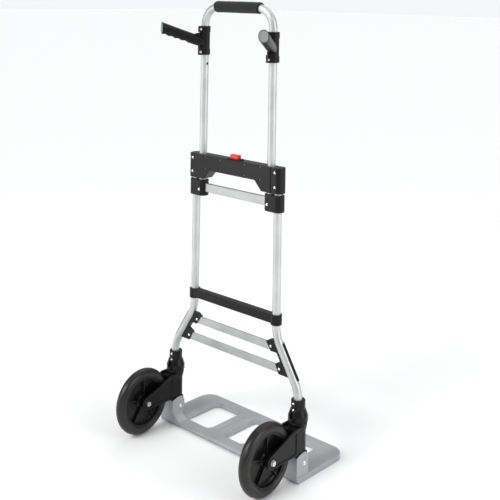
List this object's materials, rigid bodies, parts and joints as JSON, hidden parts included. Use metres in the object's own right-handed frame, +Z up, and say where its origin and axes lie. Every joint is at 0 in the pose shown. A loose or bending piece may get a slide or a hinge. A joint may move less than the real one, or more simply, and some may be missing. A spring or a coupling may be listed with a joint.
{
  "type": "folding hand truck",
  "caption": "Folding hand truck with a telescoping U-shaped handle and release button, swivelling side grips, wheels that swing in and a toe plate that folds up.",
  "frame": {"origin": "on the floor, on the centre plane, under the axes of the side tubes, on the toe plate's centre lip", "axes": "+X to the operator's right, +Y forward over the toe plate, +Z up"},
  "size_m": [0.5262, 0.3872, 1.2185],
  "materials": {
    "tube_metal": "satin anodised tube",
    "strip_metal": "satin grey",
    "black_plastic": "fine grained moulding",
    "wheel_plastic": "moulded",
    "grey_plastic": "moulded",
    "red_plastic": "glossy",
    "bush_nylon": "natural nylon",
    "zinc_steel": "bright zinc plate",
    "dark_steel": "blackened",
    "toe_paint": "light blue-grey powder coat",
    "tyre_rubber": "smooth rubber",
    "foam": "closed-cell foam"
  },
  "bodies": {
    "frame": {"left_side_tube": "tube_metal", "right_side_tube": "tube_metal", "latch_housing_rear": "black_plastic", "latch_housing_front": "black_plastic", "housing_rivets": "zinc_steel", "housing_screws": "dark_steel", "handle_guide_bushes": "bush_nylon", "mid_crossbar": "black_plastic", "left_gusset": "black_plastic", "right_gusset": "black_plastic", "upper_cross_strip": "strip_metal", "lower_cross_strip": "strip_metal", "gusset_rivets": "zinc_steel", "left_collar": "black_plastic", "right_collar": "black_plastic", "collar_rivets": "zinc_steel", "button_spring": "dark_steel", "left_foot": "black_plastic", "right_foot": "black_plastic"},
    "handle": {"handle_tube": "tube_metal", "foam_grip": "foam", "left_slider": "black_plastic", "right_slider": "black_plastic", "slider_crossbar": "strip_metal", "slider_rivets": "zinc_steel"},
    "left_grip": {"left_grip_handle": "black_plastic", "left_grip_clamp": "black_plastic", "left_grip_cap": "grey_plastic", "left_grip_fasteners": "zinc_steel"},
    "right_grip": {"right_grip_handle": "black_plastic", "right_grip_clamp": "black_plastic", "right_grip_cap": "grey_plastic", "right_grip_fasteners": "zinc_steel"},
    "button": {"release_button": "red_plastic"},
    "left_bolt": {"left_latch_bolt": "zinc_steel"},
    "right_bolt": {"right_latch_bolt": "zinc_steel"},
    "toe": {"toe_plate": "toe_paint", "left_pivot_pin": "zinc_steel", "right_pivot_pin": "zinc_steel"},
    "left_bracket": {"left_wheel_bracket": "black_plastic", "left_swivel_bush": "bush_nylon", "left_axle_bolt": "zinc_steel", "left_axle_nut": "zinc_steel"},
    "right_bracket": {"right_wheel_bracket": "black_plastic", "right_swivel_bush": "bush_nylon", "right_axle_bolt": "zinc_steel", "right_axle_nut": "zinc_steel"},
    "left_wheel": {"left_wheel_rim": "wheel_plastic", "left_tyre": "tyre_rubber", "left_wheel_bushes": "bush_nylon"},
    "right_wheel": {"right_wheel_rim": "wheel_plastic", "right_tyre": "tyre_rubber", "right_wheel_bushes": "bush_nylon"}
  },
  "joints": [
    {"name": "handle_slide", "type": "slide", "parent": "frame", "child": "handle", "axis": [0, 0, 1], "range_m": [-0.2655, 0]},
    {"name": "left_grip_swivel", "type": "hinge", "parent": "handle", "child": "left_grip", "pos_m": [-0.1295, 0, 1.1], "axis": [0, 0, -1], "range_deg": [-30, 60]},
    {"name": "right_grip_swivel", "type": "hinge", "parent": "handle", "child": "right_grip", "pos_m": [0.1295, 0, 1.1], "axis": [0, 0, 1], "range_deg": [-30, 60]},
    {"name": "button_press", "type": "slide", "parent": "frame", "child": "button", "axis": [0, 0, -1], "range_m": [0, 0.0045], "stiffness_N_per_m": 400, "springref_m": -0.004, "deforming": ["button_spring"]},
    {"name": "left_bolt_slide", "type": "slide", "parent": "frame", "child": "left_bolt", "axis": [1, 0, 0], "range_m": [0, 0.0045]},
    {"name": "right_bolt_slide", "type": "slide", "parent": "frame", "child": "right_bolt", "axis": [-1, 0, 0], "range_m": [0, 0.0045]},
    {"name": "toe_fold", "type": "hinge", "parent": "frame", "child": "toe", "pos_m": [0.2315, 0, 0.043], "axis": [1, 0, 0], "range_deg": [0, 90]},
    {"name": "right_bracket_swing", "type": "hinge", "parent": "frame", "child": "right_bracket", "pos_m": [0.2315, 0, 0.12], "axis": [0, 0, -1], "range_deg": [0, 90]},
    {"name": "left_bracket_swing", "type": "hinge", "parent": "frame", "child": "left_bracket", "pos_m": [-0.2315, 0, 0.12], "axis": [0, 0, 1], "range_deg": [0, 90]},
    {"name": "right_wheel_spin", "type": "hinge", "parent": "right_bracket", "child": "right_wheel", "pos_m": [0.2315, -0.1262, 0.089], "axis": [1, 0, 0], "continuous": true},
    {"name": "left_wheel_spin", "type": "hinge", "parent": "left_bracket", "child": "left_wheel", "pos_m": [-0.2315, -0.1262, 0.089], "axis": [1, 0, 0], "continuous": true}
  ],
  "couplings": [
    {"joint": "left_bolt_slide", "follows": "button_press", "ratio": 1},
    {"joint": "right_bolt_slide", "follows": "button_press", "ratio": 1},
    {"joint": "right_bracket_swing", "follows": "toe_fold", "ratio": 1},
    {"joint": "left_bracket_swing", "follows": "toe_fold", "ratio": 1}
  ]
}
